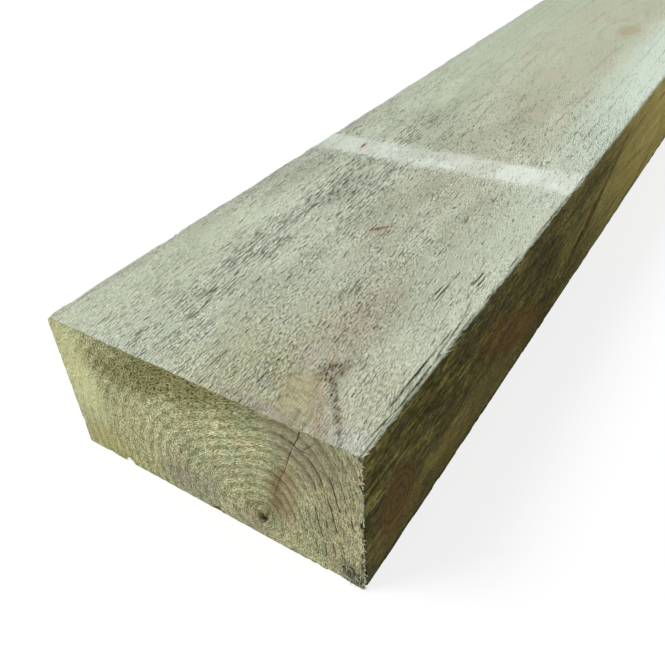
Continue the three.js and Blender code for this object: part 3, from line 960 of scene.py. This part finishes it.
def crosscut_end_grain(node):
    """End grain cut with a coarse saw: open and speckled, with dashes torn round the rings, darker
    than the sawn faces because it drinks more of the treatment."""
    growth, around, recess_shade = [
        node("Attribute", attribute_name=name, output="Fac") for name in ("growth", "around", "recess_shade")
    ]
    ring, off_middle = in_ring(node, growth)
    late = node("MapRange", ring, 0.30, 0.80, **SMOOTH)
    late = node("Math", late, node("MapRange", ring, 0.93, 1.0, 1.0, 0.0, **SMOOTH), **TIMES)
    olive = spot(node, on_end(84, 9, 62, 13, -10), 14, 0.6, 0.7)
    smooth_wood = spot(node, on_end(169, 10, 21, 20), 12, 0.6, 0.4)
    core = spot(node, on_end(154, 49, 9.5, 23, 16), 8, 0.5)
    clean = node("Math", smooth_wood, core, operation="MAXIMUM")

    def dashed(across_mm, round_mm):
        """Noise from 0 to 1 with dashes of a real size that follow the rings."""
        across = node("Math", growth, 1 / (across_mm * MM), **TIMES)
        along = node("Math", around, 1 / (round_mm * MM), **TIMES)
        place = node("CombineXYZ", across, along)
        return node("TexNoise", {"Vector": place, "Scale": 1, "Detail": 1, "Roughness": 0.5})

    colour = layered(node, linear("#DEE0AF"), [
        (patches(node, 40, 26, 0.36, 0.64), 0.7, "#BABC90"),
        (late, patches(node, 40, 9, 0.40, 0.62), 0.56, "#898552"),
        (late, 0.20, "#8D8958"),
        (patches(node, 50, 22, 0.46, 0.64, 2), 0.35, "#A3B48D"),
        (patches(node, 50, 13, 0.54, 0.38, 2), 0.35, "#C1AE8D"),
        (spot(node, on_end(182, 52, 14, 44), 12), 0.40, "#BFAF8A"),
        (spot(node, on_end(12, 34, 15, 32), 14), 0.85, "#E4E5AD"),
        (spot(node, on_end(28, 86, 26, 12), 12, 0.6, 0.6), 0.45, "#C6BC74"),
        (spot(node, on_end(42, 58, 17, 17), 12, 0.6, 0.6), 0.45, "#DFDCA6"),
        (olive, 0.74, "#8C8754"),
        (spot(node, on_end(88, 0, 60, 7), 10, 0.6, 0.6), 0.38, "#817C4B"),
        (spot(node, on_end(139, 73, 11, 11), 8, 0.6, 0.6), 0.60, "#86865C"),
        (spot(node, on_end(90, 84, 17, 14), 14, 0.6, 0.6), 0.50, "#A4A192"),
        (spot(node, on_end(132, 90, 16, 10), 10), 0.50, "#AE9E81"),
        (smooth_wood, 0.72, "#989078"),
        (core, 0.62, "#94805A"),
        (spot(node, on_end(151, 46, 2.5, 12, 18), 5, 0.7, 0.8), 0.35, "#74583D"),
        (spot(node, on_end(149, 62, 3, 9, 14), 5, 0.7, 0.8), 0.35, "#675034"),
        (late, clean, 0.40, "#645C3D"),
    ])

    # Hair cracks and dots in the smooth wood beside the check, dark lines down to the pith, and the
    # torn lower corner, which is pale round a hollow painted dark with its shade.
    for oval, edge, strength, tint in (
        (on_end(169, 13, 6.5, 0.45, 6), (3, 0.5, 0.9), 0.60, "#433E29"),
        (on_end(173, 8, 6.0, 0.45, -49), (3, 0.5, 0.9), 0.60, "#433E29"),
        (on_end(180, 22, 3.5, 0.4, 30), (3, 0.5, 0.9), 0.60, "#433E29"),
        (on_end(163, 11, 1.2, 1.0), (2, 0.5, 0.6), 0.60, "#433E29"),
        (on_end(158.5, 9, 1.4, 1.2), (2, 0.5, 0.6), 0.40, "#433E29"),
        (on_end(151, 48, 0.5, 8, 18), (3, 0.5, 0.9), 0.45, "#4F412C"),
        (on_end(141, 77, 1.0, 4.5, 24), (3, 0.6, 0.9), 0.60, "#4F3F28"),
        (on_end(192, 89, 8, 9), (3, 0.5, 0.9), 0.55, "#A9A892"),
        (on_end(194, 91, 6, 5), (2, 0.3, 1.6), 0.75, "#3B3825"),
    ):
        colour = layered(node, colour, [(spot(node, oval, *edge), strength, tint)])

    # Speckle: pale torn ends and dark open ones, dashed round the rings and thicker under the top. The
    # pores are too fine to show, so it is drawn in grains of 0.6 to 1.2 mm.
    fine_dash = dashed(0.60, 2.6)
    speckle = grain(node, 0.9, 0.9, 1)
    calm = node("Math", clean, spot(node, on_end(6, 46, 20, 60), 6, 0.3, 0.3), operation="MAXIMUM")
    calm = node("MapRange", calm, 0, 1, 1.0, 0.45)
    light = node("MapRange", fine_dash, 0.34, 0.66, -0.34, 0.34)
    for pattern, share in ((dashed(1.2, 6.0), 0.14), (speckle, 0.26)):
        more = node("MapRange", pattern, 0.34, 0.66, -share, share)
        light = node("Math", light, more, operation="ADD")
    light = node("Math", light, calm, 1.0, **TIMES_PLUS)
    colour = node("Mix", {0: 1.0, 6: colour, 7: light}, output=2, **TINTED)

    # Open pits, and dark grooves torn out between the rings beside the front side.
    pits = node("Math", node("MapRange", dashed(0.9, 3.6), 0.58, 0.64, **SMOOTH), calm, **TIMES)
    groove = node("MapRange", off_middle, 0.41, 0.48, **SMOOTH)
    broken = node("MapRange", dashed(4.0, 7.0), 0.44, 0.58, **SMOOTH)
    for share in (spot(node, on_end(181, 48, 15, 40), 7, 0.4, 0.9), broken):
        groove = node("Math", groove, share, **TIMES)
    colour = layered(node, colour, [
        (weighted(node, pits, [(olive, 0.30, 1.0)]), 0.80, "#403C1C"),
        (groove, 0.85, "#413A1C"),
        # Painted shade in the checks and pits.
        (recess_shade, 0.85, "#2C210D"),
    ])
    height = node("Math", speckle, 0.7, fine_dash, **TIMES_PLUS)
    height = node("Math", height, calm, **TIMES)
    for dent, share in ((pits, -0.5), (groove, -0.8)):
        height = node("Math", dent, share, height, **TIMES_PLUS)
    bump = node("Bump", {"Height": height, "Distance": 1.2 * MM})
    return {"Base Color": colour, "Roughness": 0.92, "Normal": bump}


for looks in (sawn_treated_softwood, crosscut_end_grain):
    timber.data.materials.append(new_material(looks))
is_end = np.arange(len(faces)) >= sawn_faces
timber.data.polygons.foreach_set("material_index", is_end.astype(np.int32))
timber.data.polygons.foreach_set("use_smooth", np.ones(len(faces), bool))
timber.data.set_sharp_from_angle(angle=math.radians(50))

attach(timber, "root")
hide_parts("sleeper")

# ---- Loose fibres ----
# Bundles of wood that the saw and rough handling pulled free and that are still fast at one end:
# splinters along the arrises and the splits, curls in the torn corner and short wool on the top.

FIBRE_SECTIONS = (0.0, 0.35, 0.75)
FIBRE_SIDES = 3
FIBRE_TAPER = 0.6
FRONT_ARRIS_SPLINTERS = 240
UPRIGHT_EDGE_WOOL = 150
TOP_EDGE_WOOL = 260
REAR_ARRIS_WOOL = 320
TORN_CORNER_CURLS = 150
TOP_WOOL = 1300

# Long splinters: distance from the front end, distance from the front side, length and thickness, in
# millimetres.
LONG_SPLINTERS = [
    (96, 2.2, 24, 1.5), (60, 3.4, 22, 0.8), (36, 3.6, 18, 0.7), (78, 6.6, 16, 0.6),
    (126, 11.4, 20, 1.0), (131, 8.6, 16, 0.8), (118, 25.2, 24, 0.8), (282, 0.6, 9, 0.8),
    (244, 1.4, 14, 0.6), (186, 0.8, 10, 0.6), (30, 3.0, 14, 1.0), (46, 4.2, 12, 1.1),
    (55, 2.4, 15, 1.0), (70, 4.6, 12, 1.2), (82, 3.0, 13, 1.0), (88, 4.4, 11, 0.9),
    (104, 2.0, 12, 1.1), (22, 1.6, 12, 0.9), (150, 0.9, 12, 0.9), (164, 1.6, 14, 0.8),
    (205, 0.9, 12, 0.8), (222, 1.8, 12, 0.8), (262, 0.8, 11, 0.8), (14, 3.2, 9, 0.9),
    (136, 1.0, 10, 0.9),
]

draw = np.random.default_rng(11)


def fibres(roots, directions, lengths, thickness, bend):
    """Points and faces of tapered fibres that run from their roots and bend by a share of their
    length."""
    count = len(roots)
    directions = directions / np.linalg.norm(directions, axis=1)[:, None]
    across = np.cross(directions, draw.standard_normal((count, 3)))
    across /= np.linalg.norm(across, axis=1)[:, None]
    over = np.cross(directions, across)
    curve = across * draw.uniform(-1, 1, (count, 1)) + over * draw.uniform(-1, 1, (count, 1))
    curve *= bend

    def path(share):
        return roots + lengths[:, None] * (directions * share + curve * share ** 2)

    rings = []
    for share in FIBRE_SECTIONS:
        for side in range(FIBRE_SIDES):
            turn = 2 * math.pi * side / FIBRE_SIDES
            radius = (thickness / 2 * (1 - FIBRE_TAPER * share))[:, None]
            rings.append(path(share) + radius * (across * math.cos(turn) + over * math.sin(turn)))
    points = np.stack([*rings, path(1.0)], axis=1)
    each = []
    for row in range(len(FIBRE_SECTIONS) - 1):
        for side in range(FIBRE_SIDES):
            here, beside = row * FIBRE_SIDES + side, row * FIBRE_SIDES + (side + 1) % FIBRE_SIDES
            each.append((here, beside, beside + FIBRE_SIDES))
            each.append((here, beside + FIBRE_SIDES, here + FIBRE_SIDES))
    last = (len(FIBRE_SECTIONS) - 1) * FIBRE_SIDES
    for side in range(FIBRE_SIDES):
        each.append((last + side, last + (side + 1) % FIBRE_SIDES, last + FIBRE_SIDES))
    each.append((2, 1, 0))
    starts = np.arange(count)[:, None, None] * points.shape[1]
    return points.reshape(-1, 3), (starts + np.array(each)).reshape(-1, 3)


def rooted(starts, aim, sink=0.25 * MM):
    """Where rays from given starts meet the wood, a little below its surface."""
    aim = Vector(aim).normalized()
    hits = [cad_surface.ray_cast(Vector(start), aim)[0] for start in starts]
    return np.array([tuple(hit + aim * sink) for hit in hits])


def clustered(count, spread, clusters):
    """Distances from the front end, half of them even over a stretch and half in clusters, which have
    a centre and a spread."""
    even = draw.uniform(*spread, count - count // 2)
    centres = np.array(clusters)[draw.integers(len(clusters), size=count // 2)]
    return np.clip(np.concatenate([even, draw.normal(centres[:, 0], centres[:, 1])]), 0.5 * MM, None)


def near(direction, spread, count):
    """Directions close to a given one."""
    return np.array(direction) + spread * draw.standard_normal((count, 3))


def bundle(roots, direction, spread, lengths, widths, bend):
    """Fibres with given roots, and with lengths and widths from two ranges in millimetres."""
    count = len(roots)
    directions = near(direction, spread, count)
    return roots, directions, draw.uniform(*lengths, count), draw.uniform(*widths, count), bend


# The fibres' rays start before the front end, beside the front or the rear side, or over the top.
before, front = low.x - RAY_START, low.y - RAY_START
rear, over = high.y + RAY_START, THICKNESS + RAY_START
groups = []

# Splinters along the front arris of the top, thickest where it was knocked.
knocked = [(0.10, 0.015), (0.180, 0.012), (0.285, 0.004), (0.02, 0.01)]
along = clustered(FRONT_ARRIS_SPLINTERS, (0, 0.34), knocked)
roots = rooted([(low.x + x, front, over) for x in along], (0, 1, -1))
groups.append(bundle(roots, (1, -0.18, 0.03), 0.15, (2.0, 7.0), (0.28, 0.60), 0.12))

# Short wool on the front end's upright edge, its top edge and the rear arris.
up = draw.choice([12, 30, 66, 82], UPRIGHT_EDGE_WOOL) + draw.normal(0, 8, UPRIGHT_EDGE_WOOL)
roots = rooted([(before, front, z) for z in np.clip(up, 2, 95) * MM], (1, 1, 0))
groups.append(bundle(roots, (-0.6, -1, 0.1), 0.45, (0.8, 2.0), (0.18, 0.42), 0.35))
back = draw.uniform(low.y + 2 * MM, high.y - 2 * MM, TOP_EDGE_WOOL)
roots = rooted([(before, y, over) for y in back], (1, 0, -1))
groups.append(bundle(roots, (-0.8, 0.2, 0.4), 0.40, (0.6, 1.8), (0.15, 0.35), 0.35))
along = low.x + draw.uniform(1 * MM, 0.6, REAR_ARRIS_WOOL)
roots = rooted([(x, rear, over) for x in along], (0, -1, -1))
groups.append(bundle(roots, (0.8, 0.6, 0.3), 0.40, (0.8, 2.6), (0.12, 0.28), 0.40))

# Curled fibres of the torn lower corner.
back = low.y + draw.uniform(1, 15, TORN_CORNER_CURLS) * MM
up = draw.uniform(2, 16, TORN_CORNER_CURLS) * MM
roots = rooted([(before, y, z) for y, z in zip(back, up)], (1, 0, 0))
groups.append(bundle(roots, (-0.35, -0.35, 0.8), 0.45, (1.8, 6.5), (0.25, 0.60), 0.45))

# Wool on the top of the front stretch, which the saw combed a little across the grain.
along = low.x + draw.uniform(2 * MM, 0.33, TOP_WOOL)
back = draw.uniform(low.y + 4 * MM, high.y - 4 * MM, TOP_WOOL)
roots = rooted([(x, y, over) for x, y in zip(along, back)], (0, 0, -1), 0.1 * MM)
groups.append(bundle(roots, (1, 0.12, 0.22), 0.14, (0.8, 2.4), (0.14, 0.30), 0.12))

# The long splinters beside the splits.
splinters = np.array(LONG_SPLINTERS)
roots = rooted([(low.x + x * MM, low.y + y * MM, over) for x, y in splinters[:, :2]], (0, 0, -1))
directions = near((1, -0.02, 0.03), 0.035, len(splinters))
groups.append((roots, directions, splinters[:, 2], splinters[:, 3], 0.05))

points, faces = [], []
for roots, directions, lengths, widths, bend in groups:
    more, triangles = fibres(roots, directions, lengths * MM, widths * MM, bend)
    faces.append(triangles + sum(len(each) for each in points))
    points.append(more)
points, faces = np.concatenate(points).tolist(), np.concatenate(faces).tolist()
fibre_object = new_piece("sleeper_fibres", points, faces)


def loose_wood_fibres(node):
    """Dry fibres with air round them: paler than the face that they came from, and matt."""
    pale = node("MapRange", grain(node, 30, 12), 0.4, 0.6)
    return {"Base Color": layered(node, linear("#BDC3A9"), [(pale, 1.0, "#D2D3BC")]), "Roughness": 0.9}


fibre_object.data.materials.append(new_material(loose_wood_fibres))
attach(fibre_object, "root")

# ---- Floor and light ----
# A pale studio floor in a dim room, with one soft light high above the rear side and the front end,
# so that the front side of the timber lies in shade.

FLOOR_REACH = 30
KEY_DIRECTION = (-0.45, 0.62, 1.0)
KEY_STRENGTH = 0.72 * math.pi
KEY_SPREAD = math.radians(24)
ROOM_LIGHT = (0.44, 0.44, 0.44, 1)
SEEN_WHITE = (1, 1, 1, 1)

corners = [(FLOOR_REACH * x, FLOOR_REACH * y, 0) for x, y in ((-1, -1), (1, -1), (1, 1), (-1, 1))]
floor = new_piece("floor", corners, [(0, 1, 2, 3)])


def seen_directly(node):
    """1 for a ray from the camera, or mirrored or passed through glass, and 0 for a lighting ray."""
    seen = node("LightPath", output="Is Camera Ray")
    for kind in ("Is Glossy Ray", "Is Transmission Ray"):
        seen = node("Math", seen, node("LightPath", output=kind), operation="MAXIMUM")
    return seen


def studio_floor(node):
    """A matt grey floor, which looks almost white wherever it is seen."""
    seen = seen_directly(node)
    return {
        "Base Color": layered(node, linear("#C4C4C4"), [(seen, "#808080")]),
        "Roughness": 0.9,
        "Emission Color": SEEN_WHITE,
        "Emission Strength": node("Math", seen, 0.80, **TIMES),
    }


floor.data.materials.append(new_material(studio_floor))

key_light = new_object("key_light", bpy.data.lights.new("key_light", "SUN"))
key_light.data.energy = KEY_STRENGTH
key_light.data.angle = KEY_SPREAD
key_light.rotation_mode = "QUATERNION"
key_light.rotation_quaternion = Vector(KEY_DIRECTION).to_track_quat("Z", "Y")

world = bpy.data.worlds.new("studio")
bpy.context.scene.world = world
world.use_nodes = True
room = functools.partial(add, world.node_tree)
shown = layered(room, ROOM_LIGHT, [(seen_directly(room), SEEN_WHITE)])
connect(world.node_tree, world.node_tree.nodes["Background"], {"Color": shown})

bpy.context.scene.view_settings.view_transform = "Standard"
